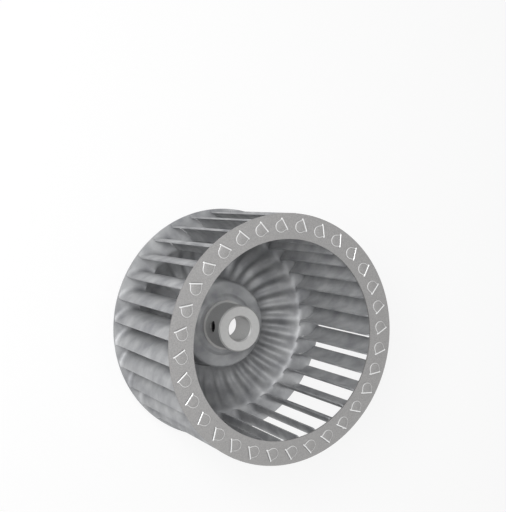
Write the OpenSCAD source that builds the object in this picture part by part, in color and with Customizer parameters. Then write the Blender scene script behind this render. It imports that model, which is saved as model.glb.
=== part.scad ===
// Single inlet forward-curved blower wheel, 4-3/4 in across, for a 1/2 in shaft.
// The wheel stands on the bottom of its dished web, with the inlet up and the shaft axis on Z.

/* [Wheel] */
// Outer diameter of the inlet ring
wheel_d = 121; // [118:0.5:126]
// Diameter of the inlet eye
eye_d = 97; // [92:0.5:100]
// Width from the rear floor to the face of the inlet ring
wheel_w = 69; // [50:0.5:80]
// Thickness of the wheel's sheet
sheet_t = 0.8; // [0.6:0.05:1]
// Thickness of the inlet ring
ring_t = 0.8; // [0.6:0.05:1.2]

/* [Blades] */
// Number of blades
blade_count = 32; // [28:1:36]
// Diameter on the inner edges of the blades
blade_inner_d = 99.8; // [98:0.2:102]
// How far the outer edge of the wheel's ring stands past the blades
edge_inset = 0.25; // [0.1:0.05:1]
// Angle at the shaft between a blade's inner and outer edge
blade_sweep = 6.5; // [5.5:0.05:8]
// Depth of a blade's curve
blade_camber = 2.15; // [1.5:0.05:2.6]
// Radius of the rounded inner corner beside the ring
corner_r = 4; // [1:0.5:6]
// Radius of the bend between a blade and the floor
root_r = 2.4; // [1:0.1:3]
// Width of the cut behind each blade
slit_w = 0.3; // [0.2:0.05:0.6]

/* [Tabs] */
// Width of a tab at its bend
tab_w = 5.6; // [4:0.1:7]
// Length of a tab from its bend to its round end
tab_l = 5.6; // [4.5:0.1:6]
// Thickness of a tab after it is pressed flat
tab_t = 0.5; // [0.3:0.05:0.8]
// Place of the tab along the blade, from its inner edge
tab_at = 0.45; // [0.4:0.01:0.5]
// Clearance round a tab in its slot
slot_gap = 0.15; // [0.05:0.05:0.3]

/* [Web] */
// Depth of the dish behind the rear floor
dish_depth = 14; // [10:0.5:20]
// Diameter where the dish meets the floor
dish_d = 91.4; // [88:0.2:92]
// Diameter of the flat ring at the bottom of the dish, outside
bottom_d = 57; // [55:0.5:62]
// Diameter of the raised centre
centre_d = 46.4; // [44:0.2:48]
// Height of the raised centre over the rear floor
centre_rise = 2.5; // [0:0.1:4]
// Height of a flute over the dish
flute_h = 2.6; // [1:0.1:3.2]
// How far the floor stands past the inlet ring
floor_out = 1.2; // [0.4:0.1:2]
// Inside radius of the bends in the web
bend_r = 1.2; // [0.8:0.1:1.6]
// Diameter of the raised seat round the hub
seat_d = 31.7; // [29:0.1:34]
// Height of the seat over the raised centre
seat_h = 0.9; // [0.5:0.1:1.5]

/* [Hub] */
// Diameter of the shaft bore
bore_d = 12.7; // [8:0.1:16]
// Diameter of the hub's barrel
hub_d = 24.3; // [23:0.1:26]
// Length of the barrel over the seat
hub_l = 17; // [13:0.5:24]
// Diameter of the shoulder that sits on the seat
shoulder_d = 26.5; // [26.5:0.1:28]
// Thickness of the shoulder
shoulder_t = 1; // [0.6:0.1:1.6]
// Diameter of the neck that passes through the web
neck_d = 21; // [19.5:0.1:22]
// Diameter of the staked collar behind the web
collar_d = 23.6; // [23:0.1:25]
// Thickness of the staked collar
collar_t = 0.9; // [0.6:0.1:1.5]
// Width of the chamfers at the hub's front
chamfer = 0.6; // [0.2:0.1:1]
// Depth of the recess that staking leaves behind the bore
stake_depth = 1.9; // [1:0.1:2.5]
// Radial clearance between the neck and the web
neck_gap = 0.05; // [0.03:0.01:0.1]

/* [Set screw] */
// Diameter of the set screw
screw_d = 5.9; // [4:0.1:6.5]
// Radial clearance round the set screw
screw_gap = 0.05; // [0.03:0.01:0.1]
// How deep the screw lies under the barrel
screw_sink = 0.9; // [0.3:0.1:1.5]
// How far the screw's point stays clear of the bore
point_gap = 0.2; // [0.1:0.05:0.5]
// Width across the flats of the hex socket
socket_w = 3.2; // [2:0.1:3.2]
// Depth of the hex socket
socket_depth = 2; // [1:0.1:2.5]

/* [Hidden] */
$fn = 96;
cut = 1;                                // how far a cutting solid runs past what it cuts
sink = 0.15;                            // how far a bend's ends lie inside the sheets that it joins
pitch = 360 / blade_count;
floor_z = dish_depth;                   // rear face of the floor
ring_z = dish_depth + wheel_w - ring_t; // rear face of the inlet ring
half_t = sheet_t / 2;
blade_steps = 5;                        // facets along a blade's curve

// A blade is an arc from its inner to its outer edge. Blade 0 has its outer edge on +X.
blade_out = [wheel_d / 2 - edge_inset, 0];
blade_in = blade_inner_d / 2 * [cos(blade_sweep), -sin(blade_sweep)];
chord = norm(blade_out - blade_in);
chord_dir = atan2(blade_out.y - blade_in.y, blade_out.x - blade_in.x);
arc_r = chord * chord / 8 / blade_camber + blade_camber / 2;
arc_half = asin(chord / 2 / arc_r);
arc_centre = (blade_in + blade_out) / 2 + (arc_r - blade_camber) * [-sin(chord_dir), cos(chord_dir)];
arc_fn = floor(180 * blade_steps / arc_half);
function arc_dir(along) = chord_dir + arc_half * (2 * along - 1);
function arc_point(along) = arc_centre + arc_r * [sin(arc_dir(along)), -cos(arc_dir(along))];

// Web: rows from the hub's hole to the edge of the floor, on the sheet's middle surface.
// A row is a radius, a height, a share of the flute's height and a number of columns.
sheet_z = floor_z + half_t;              // the floor's middle surface
centre_z = sheet_z + centre_rise;
seat_z = centre_z + seat_h;
bottom_z = half_t;
hole_r = neck_d / 2 + neck_gap;
bottom_r = bottom_d / 2;
edge_r = centre_d / 2;
wall_r = edge_r + 1;                    // the centre's wall leans out by this much
floor_r = wheel_d / 2 + floor_out;
inner_cols = 48;
flute_cols = blade_count * 4;
outer_cols = blade_count * 2;
function dish_row(along, lift) =
    [bottom_r + along * (dish_d / 2 - bottom_r), bottom_z + along * (sheet_z - bottom_z), lift, flute_cols];
web_rows = [
    [hole_r, seat_z, 0, inner_cols], [seat_d / 2 - seat_h, seat_z, 0, inner_cols],
    [seat_d / 2 + seat_h, centre_z, 0, inner_cols], [edge_r - bend_r, centre_z, 0, inner_cols],
    [edge_r, centre_z - bend_r, 0, inner_cols], [wall_r, bottom_z + bend_r, 0, inner_cols],
    [wall_r + bend_r, bottom_z, 0, inner_cols], [bottom_r - 0.3, bottom_z, 0, flute_cols],
    dish_row(0.05, 0.2), dish_row(0.25, 0.85), dish_row(0.6, 1), dish_row(0.94, 0.8),
    [dish_d / 2 + 0.6, sheet_z, 0, flute_cols], [floor_r, sheet_z, 0, outer_cols]];
web_last = len(web_rows) - 1;
function row_start(i) = i == 0 ? 0 : row_start(i - 1) + web_rows[i - 1][3];
function row_normal(i) =
    let (u = web_rows[max(i - 1, 0)], v = web_rows[i], w = web_rows[min(i + 1, web_last)],
         p = i == 0 ? [0, 0] : [v.x - u.x, v.y - u.y] / norm([v.x - u.x, v.y - u.y]),
         q = i == web_last ? [0, 0] : [w.x - v.x, w.y - v.y] / norm([w.x - v.x, w.y - v.y]),
         d = (p + q) / norm(p + q), side = i == 0 || i == web_last ? 1 : p * d)
    [-d.y, d.x] / side;
// A flute has a flat crest, a slope, a flat trough and a slope.
function web_point(i, j, side) =
    let (row = web_rows[i], fluted = row[3] == flute_cols,
         place = fluted ? (floor(j / 4) + [-0.14, 0.14, 0.36, 0.64][j % 4]) * pitch : 360 * j / row[3],
         lift = fluted && j % 4 < 2 ? flute_h * row[2] : 0,
         q = [row.x, row.y] + row_normal(i) * (lift + side * half_t), turn = place - blade_sweep)
    [q.x * cos(turn), q.x * sin(turn), q.y];
// The strip between rows i and i + 1, whose numbers of columns may differ
function strip(i, base) =
    let (n = web_rows[i][3], m = web_rows[i + 1][3], p = base + row_start(i), q = base + row_start(i + 1))
    [for (k = [0 : n - 1]) let (e = floor((k + 0.5) * m / n), d = floor((k - 0.5) * m / n))
        each concat([[p + k, p + (k + 1) % n, q + e % m]],
                    [for (c = [d : 1 : e - 1]) [p + k, q + (c + 1 + m) % m, q + (c + m) % m]])];
function flipped(faces) = [for (f = faces) [f[0], f[2], f[1]]];

module web() {
    under = row_start(web_last) + outer_cols;
    points = [for (side = [1, -1]) for (i = [0 : web_last]) for (j = [0 : web_rows[i][3] - 1]) web_point(i, j, side)];
    front = [for (i = [0 : web_last - 1]) each strip(i, 0)];
    rear = [for (i = [0 : web_last - 1]) each flipped(strip(i, under))];
    hole = [for (j = [0 : inner_cols - 1]) let (k = (j + 1) % inner_cols) each
        [[j, under + k, k], [j, under + j, under + k]]];
    edge_at = row_start(web_last);
    edge = [for (j = [0 : outer_cols - 1]) let (k = (j + 1) % outer_cols) each
        [[edge_at + k, under + edge_at + j, edge_at + j], [edge_at + k, under + edge_at + k, under + edge_at + j]]];
    polyhedron(points, concat(front, rear, hole, edge));
}

// A band that follows a blade's arc: dr is its distance outside the arc, and a share of the arc is left off each end.
module along_arc(from = 0, to = 1) {
    translate([arc_centre.x, arc_centre.y, 0])
        rotate([0, 0, arc_dir(from) - 90])
            rotate_extrude(angle = 2 * arc_half * (to - from), $fn = arc_fn) translate([arc_r, 0]) children();
}

module blade() {
    tab = arc_point(tab_at);
    difference() {
        along_arc() translate([-half_t, floor_z + half_t / 2]) square([sheet_t, ring_z - floor_z - half_t / 2]);
        // the inner corner beside the ring is rounded
        translate([blade_in.x, blade_in.y, ring_z]) rotate([0, 0, arc_dir(0)]) rotate([90, 0, 0])
            difference() {
                translate([-cut, -corner_r, -cut * 2]) cube([corner_r + cut, corner_r + cut, cut * 4]);
                translate([corner_r, -corner_r, -cut * 3]) cylinder(r = corner_r, h = cut * 6, $fn = 12);
            }
    }
    // the bend into the floor, on the blade's outer side, sunk a little into both sheets
    intersection() {
        along_arc() difference() {
            translate([0, floor_z + half_t]) square([half_t + root_r - 2 * sink, half_t + root_r - 2 * sink]);
            translate([half_t + root_r - sink, floor_z + sheet_t + root_r - sink]) circle(r = root_r, $fn = 8);
        }
        cylinder(r = floor_r, h = ring_z, $fn = outer_cols);
    }
    // the tab: a neck through the slot, folded over to a half-round end on the ring's face
    translate([tab.x, tab.y, 0]) rotate([0, 0, arc_dir(tab_at)]) {
        translate([-tab_w / 2, -half_t, ring_z]) cube([tab_w, sheet_t, ring_t]);
        hull() {
            translate([-tab_w / 2, -half_t, ring_z + ring_t]) cube([tab_w, sheet_t, tab_t]);
            translate([0, tab_l - half_t - tab_w / 2, ring_z + ring_t]) intersection() {
                cylinder(d = tab_w, h = tab_t, $fn = 12);
                translate([-tab_w / 2, 0, 0]) cube([tab_w, tab_w, tab_t]);
            }
        }
    }
}

module slit() {
    from = arc_point(0.2);
    to = arc_point(0.82);
    translate([from.x, from.y, floor_z - cut]) rotate([0, 0, arc_dir(0.51)]) translate([0, -half_t / 2, 0])
        cube([norm(to - from), slit_w + half_t, sheet_t + cut * 2]);
}

module wheel_body() {
    color("darkgray") {
        difference() {
            web();
            for (i = [0 : blade_count - 1]) rotate([0, 0, i * pitch]) slit();
        }
        for (i = [0 : blade_count - 1]) rotate([0, 0, i * pitch]) blade();
    }
}

module inlet_ring() {
    tab = arc_point(tab_at);
    slot = [tab_w + 2 * slot_gap, sheet_t + 2 * slot_gap];
    color("silver") translate([0, 0, ring_z]) difference() {
        cylinder(d = wheel_d, h = ring_t);
        translate([0, 0, -cut]) cylinder(d = eye_d, h = ring_t + 2 * cut);
        for (i = [0 : blade_count - 1]) rotate([0, 0, i * pitch])
            translate([tab.x, tab.y, 0]) rotate([0, 0, arc_dir(tab_at)])
                translate([-slot.x / 2, -slot.y / 2, -cut]) cube([slot.x, slot.y, ring_t + 2 * cut]);
    }
}

// Hub heights
seat_top = seat_z + half_t;
hub_front = seat_top + hub_l;
hub_rear = seat_z - half_t - collar_t;
screw_z = seat_top + (hub_l + shoulder_t) / 2;
module hub() {
    recess_r = bore_d / 2 + stake_depth;
    color("gray") difference() {
        rotate_extrude() polygon([
            [bore_d / 2, hub_rear + stake_depth], [recess_r, hub_rear], [collar_d / 2, hub_rear],
            [collar_d / 2, hub_rear + collar_t], [neck_d / 2, hub_rear + collar_t], [neck_d / 2, seat_top],
            [shoulder_d / 2, seat_top], [shoulder_d / 2, seat_top + shoulder_t],
            [hub_d / 2, seat_top + shoulder_t], [hub_d / 2, hub_front - chamfer],
            [hub_d / 2 - chamfer, hub_front], [bore_d / 2 + chamfer, hub_front],
            [bore_d / 2, hub_front - chamfer]]);
        translate([0, 0, screw_z]) rotate([0, 90, 0]) cylinder(d = screw_d + 2 * screw_gap, h = hub_d);
    }
}

module set_screw() {
    point_x = bore_d / 2 + point_gap;
    end_x = hub_d / 2 - screw_sink;
    color("dimgray") translate([0, 0, screw_z]) rotate([0, 90, 0]) difference() {
        translate([0, 0, point_x]) cylinder(d = screw_d, h = end_x - point_x);
        translate([0, 0, end_x - socket_depth])
            cylinder(d = socket_w / cos(30), h = socket_depth + cut, $fn = 6);
    }
}

wheel_body();
inlet_ring();
hub();
set_screw();
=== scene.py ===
import math

import bmesh
import bpy
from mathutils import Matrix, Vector


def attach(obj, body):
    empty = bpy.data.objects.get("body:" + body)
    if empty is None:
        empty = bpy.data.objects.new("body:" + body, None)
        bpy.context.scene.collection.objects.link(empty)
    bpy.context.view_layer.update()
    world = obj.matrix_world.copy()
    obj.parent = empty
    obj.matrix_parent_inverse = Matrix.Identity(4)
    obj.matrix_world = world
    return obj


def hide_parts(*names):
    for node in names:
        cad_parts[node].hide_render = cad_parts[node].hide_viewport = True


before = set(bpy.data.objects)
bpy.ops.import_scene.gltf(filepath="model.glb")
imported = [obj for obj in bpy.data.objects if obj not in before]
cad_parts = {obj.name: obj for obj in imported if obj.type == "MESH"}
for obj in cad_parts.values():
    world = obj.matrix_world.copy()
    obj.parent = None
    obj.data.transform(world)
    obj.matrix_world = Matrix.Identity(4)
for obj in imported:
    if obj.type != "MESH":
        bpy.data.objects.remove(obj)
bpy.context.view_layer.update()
print("frame loaded")

mm = 0.001
near = 0.01                      # mm within which two places count as one

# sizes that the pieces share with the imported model, in mm
wheel = {
    "blades": 32,
    "sheet": 0.8,
    "floor": 14.4,          # middle of the rear floor's sheet
    "centre": 16.9,         # middle of the raised centre's sheet
    "ringBack": 82.2,
    "ringFront": 83.0,
    "bladeIn": 48.9,        # radius at a blade's inner edge
    "bladeOut": 60.25,
    "sweep": 7.5,           # degrees at the shaft between a blade's inner and outer edge
    "camber": 2.35,
    "floorEdge": 61.68,
}
pitch = 2 * math.pi / wheel["blades"]


def hexColour(code):  # sRGB hex to the linear colour that a shader takes
    parts = [int(code[i:i + 2], 16) / 255 for i in (0, 2, 4)]
    return tuple(c / 12.92 if c <= 0.04045 else ((c + 0.055) / 1.055) ** 2.4 for c in parts) + (1.0,)


def clearSelection():
    if bpy.context.mode != "OBJECT":
        bpy.ops.object.mode_set(mode="OBJECT")
    bpy.ops.object.select_all(action="DESELECT")


def selectOnly(piece):
    clearSelection()
    piece.select_set(True)
    bpy.context.view_layer.objects.active = piece


def pick(test, kind="VERT"):  # selects what the test passes, by the place of its middle in mm
    bpy.ops.mesh.select_mode(type=kind)
    bpy.ops.mesh.select_all(action="DESELECT")
    mesh = bpy.context.edit_object.data
    work = bmesh.from_edit_mesh(mesh)
    items, middle = {
        "VERT": (work.verts, lambda vert: vert.co),
        "EDGE": (work.edges, lambda edge: (edge.verts[0].co + edge.verts[1].co) / 2),
        "FACE": (work.faces, lambda face: face.calc_center_median()),
    }[kind]
    found = [item for item in items if test(middle(item) / mm)]
    for item in found:
        item.select_set(True)
    work.select_flush_mode()
    bmesh.update_edit_mesh(mesh)
    return len(found)


def enterEdit():
    bpy.ops.object.mode_set(mode="EDIT")
    bpy.ops.mesh.select_mode(type="VERT")
    bpy.ops.mesh.select_all(action="SELECT")


def extrudeBy(step):
    bpy.ops.mesh.extrude_region_move(TRANSFORM_OT_translate={"value": tuple(v * mm for v in step)})


def applyPlace():  # puts the selected object's place, turn and size into its mesh
    bpy.ops.object.transform_apply(location=True, rotation=True, scale=True)


def faceOutwards():
    bpy.ops.mesh.select_all(action="SELECT")
    bpy.ops.mesh.normals_make_consistent(inside=False)


def applyModifier(piece, kind, **settings):
    selectOnly(piece)
    modifier = piece.modifiers.new(kind.title(), kind)
    for key, value in settings.items():
        setattr(modifier, key, value)
    bpy.ops.object.modifier_apply(modifier=modifier.name)


def joinPieces(pieces):
    clearSelection()
    for piece in pieces:
        piece.select_set(True)
    bpy.context.view_layer.objects.active = pieces[0]
    bpy.ops.object.join()
    return pieces[0]


def finishPiece(piece, name, material, angle=35):
    selectOnly(piece)
    applyPlace()
    bpy.ops.object.shade_smooth_by_angle(angle=math.radians(angle))
    piece.name = name
    piece.data.name = name
    piece.data.materials.clear()
    piece.data.materials.append(material)
    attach(piece, "root")
    print("made", name, len(piece.data.polygons), "faces")


# the blade's curve in plan: an arc from its inner to its outer edge, blade 0 with its outer edge on +X
sweep = math.radians(wheel["sweep"])
edgeOut = Vector((wheel["bladeOut"], 0))
edgeIn = wheel["bladeIn"] * Vector((math.cos(sweep), -math.sin(sweep)))
chord = edgeOut - edgeIn
arcRadius = chord.length ** 2 / 8 / wheel["camber"] + wheel["camber"] / 2
arcHalf = math.asin(chord.length / 2 / arcRadius)
chordTurn = math.atan2(chord.y, chord.x)
chordSide = Vector((-math.sin(chordTurn), math.cos(chordTurn)))
arcCentre = (edgeIn + edgeOut) / 2 + (arcRadius - wheel["camber"]) * chordSide


def arcTurn(share):  # direction along the arc, from 0 at the inner edge to 1 at the outer edge
    return chordTurn + arcHalf * (2 * share - 1)


def arcPoint(share):
    turn = arcTurn(share)
    return arcCentre + arcRadius * Vector((math.sin(turn), -math.cos(turn)))


def bladeTurn(radius):  # azimuth of the blade's arc at a radius
    low, high = 0.0, 1.0
    if radius <= wheel["bladeIn"]:
        return -sweep
    if radius >= wheel["bladeOut"]:
        return 0.0
    for _ in range(30):          # halves the gap until it is far below a micron
        middle = (low + high) / 2
        if arcPoint(middle).length < radius:
            low = middle
        else:
            high = middle
    point = arcPoint(low)
    return math.atan2(point.y, point.x)


# ---- materials

def addNode(tree, kind, settings=None, links=None):
    node = tree.nodes.new(kind)
    for key, value in (settings or {}).items():
        if key in node.inputs:
            node.inputs[key].default_value = value
        else:
            setattr(node, key, value)
    for socket, source in (links or {}).items():
        tree.links.new(source, node.inputs[socket])
    return node


def newMaterial(name, settings):
    material = bpy.data.materials.new(name)
    material.use_nodes = True
    tree = material.node_tree
    shader = tree.nodes["Principled BSDF"]
    for key, value in settings.items():
        shader.inputs[key].default_value = value
    return material, tree, shader


def aluminisedSheet():
    # hot-dip aluminised steel sheet, rolled and stamped: a satin grey with a faint cloudy grain
    look = {
        "dark": "8F9093", "pale": "B6B7B8",
        "cloudMm": 9.0, "grainMm": 0.5,
        "roughness": 0.6, "roughSpread": 0.07,
        # painted shade: the dish is darkened below the floor, more so deeper in the cavity, standing in for
        # the shade there
        "paintedShadeTopMm": 14.0, "paintedShadeBottomMm": 7.0, "paintedShadeFactor": 0.72,
    }
    material, tree, shader = newMaterial("aluminisedSteelStamped", {"Metallic": 0.45})
    coords = addNode(tree, "ShaderNodeTexCoord")
    cloud = addNode(tree, "ShaderNodeTexNoise", {"Scale": 1 / (look["cloudMm"] * mm), "Detail": 4.0},
                    {"Vector": coords.outputs["Object"]})
    tone = addNode(tree, "ShaderNodeValToRGB", None, {"Fac": cloud.outputs["Fac"]})
    tone.color_ramp.elements[0].color = hexColour(look["dark"])
    tone.color_ramp.elements[0].position = 0.3
    tone.color_ramp.elements[1].color = hexColour(look["pale"])
    tone.color_ramp.elements[1].position = 0.7
    place = addNode(tree, "ShaderNodeSeparateXYZ", None, {"Vector": coords.outputs["Object"]})
    # painted shade: the colour falls from full at 14 mm to 0.72 at 7 mm, darker deeper in the dish
    drawn = addNode(tree, "ShaderNodeMapRange",
                    {"From Min": look["paintedShadeBottomMm"] * mm, "From Max": look["paintedShadeTopMm"] * mm,
                     "To Min": look["paintedShadeFactor"], "To Max": 1.0}, {"Value": place.outputs["Z"]})
    paintedShadeColour = addNode(tree, "ShaderNodeHueSaturation", None,
                     {"Color": tone.outputs["Color"], "Value": drawn.outputs["Result"]})
    tree.links.new(paintedShadeColour.outputs["Color"], shader.inputs["Base Color"])
    grain = addNode(tree, "ShaderNodeTexNoise", {"Scale": 1 / (look["grainMm"] * mm), "Detail": 3.0},
                    {"Vector": coords.outputs["Object"]})
    rough = addNode(tree, "ShaderNodeMapRange",
                    {"From Min": 0.3, "From Max": 0.7, "To Min": look["roughness"] - look["roughSpread"],
                     "To Max": look["roughness"] + look["roughSpread"]}, {"Value": grain.outputs["Fac"]})
    tree.links.new(rough.outputs["Result"], shader.inputs["Roughness"])
    bump = addNode(tree, "ShaderNodeBump", {"Strength": 0.12, "Distance": 0.05 * mm},
                   {"Height": grain.outputs["Fac"]})
    tree.links.new(bump.outputs["Normal"], shader.inputs["Normal"])
    return material


def ringSheet():
    # the same coated sheet blanked flat: matt, paler, with the coating's fine speckle
    look = {"dark": "898888", "pale": "A2A1A0", "speckMm": 0.45, "roughness": 0.6, "roughSpread": 0.08}
    material, tree, shader = newMaterial("aluminisedSteelBlanked", {"Metallic": 0.55})
    coords = addNode(tree, "ShaderNodeTexCoord")
    speck = addNode(tree, "ShaderNodeTexNoise",
                    {"Scale": 1 / (look["speckMm"] * mm), "Detail": 5.0, "Roughness": 0.7},
                    {"Vector": coords.outputs["Object"]})
    tone = addNode(tree, "ShaderNodeValToRGB", None, {"Fac": speck.outputs["Fac"]})
    tone.color_ramp.elements[0].color = hexColour(look["dark"])
    tone.color_ramp.elements[0].position = 0.35
    tone.color_ramp.elements[1].color = hexColour(look["pale"])
    tone.color_ramp.elements[1].position = 0.65
    tree.links.new(tone.outputs["Color"], shader.inputs["Base Color"])
    rough = addNode(tree, "ShaderNodeMapRange",
                    {"From Min": 0.3, "From Max": 0.7, "To Min": look["roughness"] - look["roughSpread"],
                     "To Max": look["roughness"] + look["roughSpread"]}, {"Value": speck.outputs["Fac"]})
    tree.links.new(rough.outputs["Result"], shader.inputs["Roughness"])
    bump = addNode(tree, "ShaderNodeBump", {"Strength": 0.2, "Distance": 0.04 * mm},
                   {"Height": speck.outputs["Fac"]})
    tree.links.new(bump.outputs["Normal"], shader.inputs["Normal"])
    return material


def turnedSteel():
    # free-cutting steel turned on a lathe: fine feed marks round the axis
    look = {"dark": "A4A4A4", "pale": "C2C2C1", "feedMm": 0.5, "roughness": 0.42, "roughSpread": 0.06}
    material, tree, shader = newMaterial("carbonSteelTurned", {"Metallic": 0.4})
    coords = addNode(tree, "ShaderNodeTexCoord")
    bandScale = 0.314 / (look["feedMm"] * mm)    # a wave texture has a band every 0.314 / scale
    feed = addNode(tree, "ShaderNodeTexWave",
                   {"wave_type": "BANDS", "bands_direction": "Z", "Scale": bandScale,
                    "Distortion": 0.6, "Detail": 2.0},
                   {"Vector": coords.outputs["Object"]})
    tone = addNode(tree, "ShaderNodeValToRGB", None, {"Fac": feed.outputs["Fac"]})
    tone.color_ramp.elements[0].color = hexColour(look["dark"])
    tone.color_ramp.elements[1].color = hexColour(look["pale"])
    tree.links.new(tone.outputs["Color"], shader.inputs["Base Color"])
    rough = addNode(tree, "ShaderNodeMapRange", {"To Min": look["roughness"] - look["roughSpread"],
                                                 "To Max": look["roughness"] + look["roughSpread"]},
                    {"Value": feed.outputs["Fac"]})
    tree.links.new(rough.outputs["Result"], shader.inputs["Roughness"])
    bump = addNode(tree, "ShaderNodeBump", {"Strength": 0.25, "Distance": 0.03 * mm},
                   {"Height": feed.outputs["Fac"]})
    tree.links.new(bump.outputs["Normal"], shader.inputs["Normal"])
    return material


def blackOxide():
    # heat-treated set screw with a black oxide finish: dark, with a dull oily sheen
    look = {"dark": "1C1C1D", "pale": "2E2E30", "mottleMm": 0.6, "roughness": 0.4}
    material, tree, shader = newMaterial("alloySteelBlackOxide",
                                         {"Metallic": 0.8, "Roughness": look["roughness"]})
    coords = addNode(tree, "ShaderNodeTexCoord")
    mottle = addNode(tree, "ShaderNodeTexNoise", {"Scale": 1 / (look["mottleMm"] * mm), "Detail": 3.0},
                     {"Vector": coords.outputs["Object"]})
    tone = addNode(tree, "ShaderNodeValToRGB", None, {"Fac": mottle.outputs["Fac"]})
    tone.color_ramp.elements[0].color = hexColour(look["dark"])
    tone.color_ramp.elements[1].color = hexColour(look["pale"])
    tree.links.new(tone.outputs["Color"], shader.inputs["Base Color"])
    return material


def paintedHighlightEdge():
    # the same coating, shiny with fine scuffs, coloured near-white so that the tab's folds, burrs and edges
    # show painted highlights
    look = {"dark": "C9CACB", "pale": "F1F1F0", "scuffMm": 0.3, "roughness": 0.34}
    material, tree, shader = newMaterial("aluminisedSteelPaintedHighlight",
                                         {"Metallic": 0.6, "Roughness": look["roughness"]})
    coords = addNode(tree, "ShaderNodeTexCoord")
    scuff = addNode(tree, "ShaderNodeTexNoise", {"Scale": 1 / (look["scuffMm"] * mm), "Detail": 3.0},
                    {"Vector": coords.outputs["Object"]})
    tone = addNode(tree, "ShaderNodeValToRGB", None, {"Fac": scuff.outputs["Fac"]})
    tone.color_ramp.elements[0].color = hexColour(look["dark"])
    tone.color_ramp.elements[1].color = hexColour(look["pale"])
    tree.links.new(tone.outputs["Color"], shader.inputs["Base Color"])
    return material


sheetFinish = aluminisedSheet()
paintedHighlightFinish = paintedHighlightEdge()
ringFinish = ringSheet()
hubFinish = turnedSteel()
screwFinish = blackOxide()
print("materials made")

# ---- the stamped web: hub seat, raised centre, fluted dish and floor

web = {
    "perBlade": 12,          # columns from one blade to the next
    "holeRadius": 10.55,
    "seatRadius": 15.85, "seatRise": 0.9, "seatBend": 0.8, "seatBendSteps": 3,
    "bossRadius": 23.2, "bossLean": 1.0, "bossBend": 1.2, "bossBendSteps": 5,
    "bossFoot": 0.8, "bossFootReach": 1.2,       # height and width of the bend's flat end
    # radius, height of a trough and rise of a flute over it, from the raised centre out to the floor
    "dish": [(26.6, 0.4, 0.2), (28.6, 0.4, 0.5), (31, 0.4, 0.9), (33.5, 0.5, 1.4), (36, 1.2, 1.7),
             (38.2, 2.5, 1.9), (40.2, 4, 2.1), (43, 6.3, 2.3), (45.7, 9, 2.2), (47, 10.8, 1.7),
             (47.8, 12.1, 1.2), (48.6, 13.2, 0.7), (49.4, 13.95, 0.3), (50.4, 14.3, 0.1)],
    "fluteSharpness": 1.2,   # over 1, the ridges are narrower than the troughs
    "slitFrom": 51.4, "slitTo": 58.8,
    "slitRows": [53, 54.5, 56, 57.4], "edgeRow": 60.2,
    "slitShare": 0.35,       # width of a slit as a share of a column
}


def bentLine(points, bends, steps):  # rounds each corner of a line with its bend's radius
    line = [points[0]]
    longest = 0.48               # share of a side that one bend may take up
    for before, corner, after, bend, count in zip(points, points[1:], points[2:], bends, steps):
        u, v = (before - corner).normalized(), (after - corner).normalized()
        half = u.angle(v) / 2
        reach = min(bend / math.tan(half), longest * (before - corner).length,
                    longest * (after - corner).length)
        radius = reach * math.tan(half)
        centre = corner + (u + v).normalized() * radius / math.sin(half)
        start, end = corner + u * reach - centre, corner + v * reach - centre
        for i in range(count + 1):
            line.append(centre + start.slerp(end, i / count))
    return line + [points[-1]]


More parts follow.
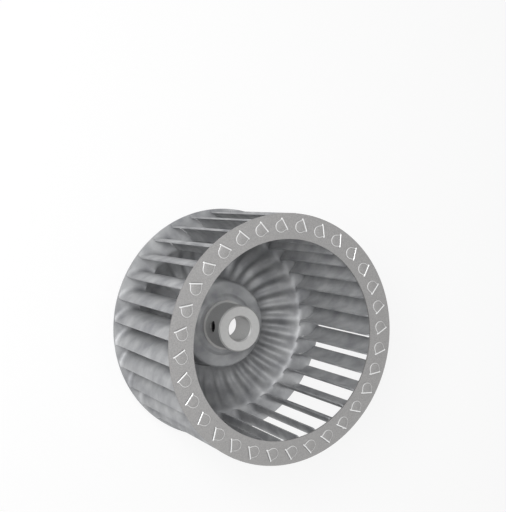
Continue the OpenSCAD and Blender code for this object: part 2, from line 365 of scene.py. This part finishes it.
def makeWeb():
    floor, centre, rise = wheel["floor"], wheel["centre"], web["seatRise"]
    foot = web["bossRadius"] + web["bossLean"]
    corners = [
        (web["holeRadius"], centre + rise), (web["seatRadius"] - rise, centre + rise),
        (web["seatRadius"] + rise, centre), (web["bossRadius"], centre),
        (foot, web["bossFoot"]), (foot + web["bossFootReach"], web["bossFoot"]),
    ]
    inner = bentLine([Vector(corner) for corner in corners],
                     [web["seatBend"]] * 2 + [web["bossBend"]] * 2,
                     [web["seatBendSteps"]] * 2 + [web["bossBendSteps"]] * 2)
    rows = [(p.x, p.y, 0.0) for p in inner] + web["dish"]
    flatRows = [web["slitFrom"]] + web["slitRows"] + [web["slitTo"], web["edgeRow"], wheel["floorEdge"]]
    rows += [(radius, floor, 0.0) for radius in flatRows]

    clearSelection()
    bpy.ops.mesh.primitive_circle_add(vertices=wheel["blades"] * web["perBlade"], radius=rows[0][0] * mm,
                                      location=(0, 0, rows[0][1] * mm))
    piece = bpy.context.object
    piece.rotation_euler = (0, 0, -sweep)
    applyPlace()
    enterEdit()
    for (r0, z0, _), (r1, z1, _) in zip(rows, rows[1:]):
        extrudeBy((0, 0, z1 - z0))
        bpy.ops.transform.resize(value=(r1 / r0, r1 / r0, 1), center_override=(0, 0, 0))
        twist = bladeTurn(r1) - bladeTurn(r0)
        if twist:
            bpy.ops.transform.rotate(value=-twist, orient_axis="Z", center_override=(0, 0, 0))
    # flutes: the same column of every flute is lifted off the dish together
    for radius, height, lift in web["dish"]:
        for column in range(web["perBlade"] // 2):
            wave = (1 + math.cos(2 * math.pi * column / web["perBlade"])) / 2

            def onColumn(p):
                if abs(p.z - height) > near or abs(math.hypot(p.x, p.y) - radius) > near:
                    return False
                phase = (math.atan2(p.y, p.x) + sweep) / pitch * web["perBlade"]
                spot = round(phase) % web["perBlade"]
                return spot in (column, web["perBlade"] - column)

            pick(onColumn)
            bpy.ops.transform.translate(value=(0, 0, lift * wave ** web["fluteSharpness"] * mm))
    # the cut behind each blade: the column beside it is drawn in to a narrow strip, which is then deleted

    def floorPhase(p):
        radius = math.hypot(p.x, p.y)
        if abs(p.z - floor) > near or not web["slitFrom"] - near < radius < web["slitTo"] + near:
            return -1
        return (math.atan2(p.y, p.x) - bladeTurn(radius)) / pitch * web["perBlade"] % web["perBlade"]

    pick(lambda p: 0.8 < floorPhase(p) < 1.2)
    drawn = (1 - web["slitShare"]) * pitch / web["perBlade"]
    bpy.ops.transform.rotate(value=drawn, orient_axis="Z", center_override=(0, 0, 0))
    print("slit faces", pick(lambda p: 0.02 < floorPhase(p) < web["slitShare"], "FACE"))
    bpy.ops.mesh.delete(type="FACE")
    faceOutwards()
    bpy.ops.object.mode_set(mode="OBJECT")
    applyModifier(piece, "SOLIDIFY", thickness=wheel["sheet"] * mm, offset=0.0)
    return piece


# ---- one blade with its root bend and folded tab, then copied round the wheel

blade = {
    "bend": 2.8,             # radius of the root bend at the middle of the sheet
    "bendSteps": 6,
    "footReach": 0.6, "footSink": 0.08,
    "rowHeights": [22, 34, 50, 66, 76],
    "cornerRadius": 4.0, "cornerSteps": 8, "restSteps": 8,
    "trimInset": 0.5, "trimTurn": 0.03,          # the foot's cut: inside the floor's edge, turned by radians
}


def makeBlade():
    bend, floor = blade["bend"], wheel["floor"]
    turn = arcTurn(0)
    out = Vector((math.sin(turn), -math.cos(turn)))       # away from the arc's centre
    profile = [(bend + blade["footReach"], floor - blade["footSink"])]
    for i in range(blade["bendSteps"] + 1):
        angle = -math.pi / 2 - math.pi / 2 * i / blade["bendSteps"]
        profile.append((bend + bend * math.cos(angle), floor + bend + bend * math.sin(angle)))
    profile += [(0, z) for z in blade["rowHeights"] + [wheel["ringBack"]]]
    places = [Vector((edgeIn.x + out.x * x, edgeIn.y + out.y * x, z)) for x, z in profile]
    clearSelection()
    bpy.ops.mesh.primitive_plane_add(size=mm, location=tuple(places[0] * mm))
    piece = bpy.context.object
    applyPlace()
    enterEdit()
    bpy.ops.mesh.merge(type="CENTER")
    for before, after in zip(places, places[1:]):
        extrudeBy(after - before)
    bpy.ops.mesh.select_all(action="SELECT")
    corner = blade["cornerRadius"] / (2 * arcHalf * arcRadius)
    centre = (arcCentre.x * mm, arcCentre.y * mm, 0)
    for steps, share in ((blade["cornerSteps"], corner), (blade["restSteps"], 1 - corner)):
        bpy.ops.mesh.spin(steps=steps, angle=-2 * arcHalf * share, center=centre, axis=(0, 0, 1))
    bpy.ops.mesh.select_all(action="SELECT")
    bpy.ops.mesh.remove_doubles(threshold=near * mm)
    # the rounded corner beside the ring
    radius = blade["cornerRadius"]
    for i in range(blade["cornerSteps"]):
        along = radius * i / blade["cornerSteps"]
        share = corner * i / blade["cornerSteps"]
        place = arcPoint(share)
        pick(lambda p: abs(p.z - wheel["ringBack"]) < near and (Vector((p.x, p.y)) - place).length < near)
        drop = radius - math.sqrt(radius ** 2 - (radius - along) ** 2)
        bpy.ops.transform.translate(value=(0, 0, -drop * mm))
    # the bend's foot is trimmed at the floor's edge
    foot = arcPoint(1.0)
    outTurn = math.atan2(foot.y, foot.x) - blade["trimTurn"]
    trim = wheel["floorEdge"] - blade["trimInset"]
    bpy.ops.mesh.select_all(action="SELECT")
    bpy.ops.mesh.bisect(plane_co=(trim * math.cos(outTurn) * mm, trim * math.sin(outTurn) * mm, 0),
                        plane_no=(math.cos(outTurn), math.sin(outTurn), 0), clear_outer=True)
    faceOutwards()
    bpy.ops.object.mode_set(mode="OBJECT")
    applyModifier(piece, "SOLIDIFY", thickness=wheel["sheet"] * mm, offset=0.0)
    return piece


tab = {
    "place": (55.333, -5.010), "turn": 23.98,    # over the ring's slot
    "width": 5.6, "length": 5.6, "thick": 0.36,
    "edge": 0.24,                                # width of the rounded edge
    "foldRadius": 0.4, "foldHeight": 0.1,        # the fold stands a little over the pressed tab
    "burrRadius": 0.42, "burrReach": 0.15,       # the burr that folding raises at each end of the fold
    "neckRise": 0.3,                             # how far the neck goes past the slot, to run into the tab
    "level": 0.999,                              # a face whose normal rises this far is the tab's flat top
}


def makeTab():
    half, endRadius = wheel["sheet"] / 2, tab["width"] / 2
    top = wheel["ringFront"] + tab["thick"]
    clearSelection()
    bpy.ops.mesh.primitive_circle_add(vertices=48, radius=endRadius * mm, fill_type="NGON",
                                      location=(0, 0, top * mm))
    piece = bpy.context.object
    applyPlace()
    enterEdit()
    straight = tab["length"] - half - endRadius
    bpy.ops.mesh.bisect(plane_co=(0, 0, 0), plane_no=(0, -1, 0), clear_outer=True)
    bpy.ops.mesh.select_all(action="SELECT")
    bpy.ops.transform.translate(value=(0, straight * mm, 0))
    pick(lambda p: abs(p.y - straight) < near)
    extrudeBy((0, -straight - half, 0))
    bpy.ops.mesh.select_all(action="SELECT")
    extrudeBy((0, 0, -tab["thick"]))
    faceOutwards()

    def onEdge(p):  # the top edge along both sides and round the end
        reach = abs(p.x) if p.y < straight else math.hypot(p.x, p.y - straight)
        return abs(p.z - top) < near and reach > endRadius - near

    pick(onEdge, "EDGE")
    bpy.ops.mesh.bevel(offset=tab["edge"] * mm, segments=2)
    # the neck goes down through its slot
    clearSelection()
    ringMiddle = (wheel["ringBack"] + wheel["ringFront"]) / 2
    bpy.ops.mesh.primitive_cube_add(size=1, location=(0, 0, ringMiddle * mm))
    neck = bpy.context.object
    neckHeight = wheel["ringFront"] - wheel["ringBack"] + tab["neckRise"]
    neck.scale = (tab["width"] * mm, wheel["sheet"] * mm, neckHeight * mm)
    applyPlace()
    # the fold, and a burr at each end of it
    foldHeight = wheel["ringFront"] + tab["foldHeight"]
    bpy.ops.mesh.primitive_cylinder_add(vertices=16, radius=tab["foldRadius"] * mm, depth=tab["width"] * mm,
                                        location=(0, (tab["foldRadius"] - half) * mm, foldHeight * mm),
                                        rotation=(0, math.pi / 2, 0))
    parts = [piece, neck, bpy.context.object]
    for side in (-1, 1):
        burrPlace = (side * (endRadius + tab["burrReach"]) * mm, 0, wheel["ringFront"] * mm)
        bpy.ops.mesh.primitive_uv_sphere_add(segments=16, ring_count=8, radius=tab["burrRadius"] * mm,
                                             location=burrPlace)
        parts.append(bpy.context.object)
    piece = joinPieces(parts)
    piece.location = (tab["place"][0] * mm, tab["place"][1] * mm, 0)
    piece.rotation_euler = (0, 0, math.radians(tab["turn"]))
    selectOnly(piece)
    applyPlace()
    return piece


webPiece = makeWeb()
print("web made", len(webPiece.data.polygons))
bladePiece = joinPieces([makeBlade(), makeTab()])
print("blade made", len(bladePiece.data.polygons))
selectOnly(bladePiece)
enterEdit()
bpy.ops.mesh.spin(steps=wheel["blades"] - 1, angle=2 * math.pi - pitch, dupli=True, center=(0, 0, 0),
                  axis=(0, 0, 1))
bpy.ops.object.mode_set(mode="OBJECT")
wheelPiece = joinPieces([webPiece, bladePiece])
finishPiece(wheelPiece, "wheelSheet", sheetFinish)
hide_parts("wheel_body")
# the folded tabs are as matt as the ring that they hold, and their folds and edges get the near-white
# painted highlight
wheelPiece.data.materials.append(ringFinish)
wheelPiece.data.materials.append(paintedHighlightFinish)
for face in wheelPiece.data.polygons:
    if face.center.z > wheel["ringFront"] * mm:
        face.material_index = 1 if face.normal.z > tab["level"] else 2

for nodeName, finish in (("inlet_ring", ringFinish), ("hub", hubFinish), ("set_screw", screwFinish)):
    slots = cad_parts[nodeName].data.materials
    slots.clear()
    slots.append(finish)

# ---- floor, light and camera

stage = {
    "floorColour": "F4F4F4", "paperShare": 0.85, "floorSize": 3000, "worldLight": 0.36,
    "aim": (0, 0, 50),
    "keyPlace": (330, -130, 480), "keySize": 260, "keyPower": 2.6,
    "fillPlace": (-350, 300, 450), "fillSize": 400, "fillPower": 0.2,
}

clearSelection()
bpy.ops.mesh.primitive_plane_add(size=stage["floorSize"] * mm, location=(0, 0, 0))
floorPiece = bpy.context.object
floorPiece.name = "studioFloor"
floorFinish, floorTree, floorShader = newMaterial(
    "paperSweep", {"Roughness": 0.9, "Base Color": hexColour(stage["floorColour"])})
paper = addNode(floorTree, "ShaderNodeEmission", {"Color": (1, 1, 1, 1), "Strength": 1.0})


def whiteRays(tree):  # 1 for rays from the camera, from gloss and through glass, and 0 for light
    path = addNode(tree, "ShaderNodeLightPath")
    gloss = addNode(tree, "ShaderNodeMath", {"operation": "MAXIMUM"},
                    {0: path.outputs["Is Glossy Ray"], 1: path.outputs["Is Transmission Ray"]})
    rays = addNode(tree, "ShaderNodeMath", {"operation": "MAXIMUM"},
                   {0: path.outputs["Is Camera Ray"], 1: gloss.outputs["Value"]})
    return rays.outputs["Value"]


share = addNode(floorTree, "ShaderNodeMath", {"operation": "MULTIPLY"}, {0: whiteRays(floorTree)})
share.inputs[1].default_value = stage["paperShare"]
mixed = addNode(floorTree, "ShaderNodeMixShader", None,
                {0: share.outputs["Value"], 1: floorShader.outputs["BSDF"], 2: paper.outputs["Emission"]})
floorTree.links.new(mixed.outputs["Shader"], floorTree.nodes["Material Output"].inputs["Surface"])
floorPiece.data.materials.append(floorFinish)

view = {
    "place": (218.873, -50.243, 446.090), "turn": (-9.0385, -28.2664, -175.3919),
    "lens": 63.19, "sensor": 36, "shift": (0.0030, 0.1645), "nearest": 10,
}
cameraData = bpy.data.cameras.new("viewCamera")
cameraData.lens = view["lens"]
cameraData.sensor_width = view["sensor"]
cameraData.shift_x, cameraData.shift_y = view["shift"]
cameraData.clip_start = view["nearest"] * mm
camera = bpy.data.objects.new("viewCamera", cameraData)
camera.location = tuple(v * mm for v in view["place"])
camera.rotation_euler = tuple(math.radians(v) for v in view["turn"])
bpy.context.scene.collection.objects.link(camera)
bpy.context.scene.camera = camera

world = bpy.data.worlds.new("softRoom")
bpy.context.scene.world = world
world.use_nodes = True
background = world.node_tree.nodes["Background"]
background.inputs["Color"].default_value = (1, 1, 1, 1)
background.inputs["Strength"].default_value = stage["worldLight"]
# the room's wall is white to the camera and in reflections
wall = addNode(world.node_tree, "ShaderNodeBackground", {"Color": (1, 1, 1, 1), "Strength": 1.0})
both = addNode(world.node_tree, "ShaderNodeMixShader", None,
               {0: whiteRays(world.node_tree), 1: background.outputs["Background"],
                2: wall.outputs["Background"]})
world.node_tree.links.new(both.outputs["Shader"], world.node_tree.nodes["World Output"].inputs["Surface"])


def addLamp(name, place, size, power):  # place and size in mm
    data = bpy.data.lights.new(name, "AREA")
    data.shape = "DISK"
    data.size = size * mm
    data.energy = power
    lamp = bpy.data.objects.new(name, data)
    lamp.location = tuple(v * mm for v in place)
    lamp.rotation_euler = (Vector(stage["aim"]) - Vector(place)).to_track_quat("-Z", "Y").to_euler()
    bpy.context.scene.collection.objects.link(lamp)


addLamp("keyLamp", stage["keyPlace"], stage["keySize"], stage["keyPower"])
addLamp("fillLamp", stage["fillPlace"], stage["fillSize"], stage["fillPower"])
bpy.context.scene.view_settings.view_transform = "Standard"
print("stage set")
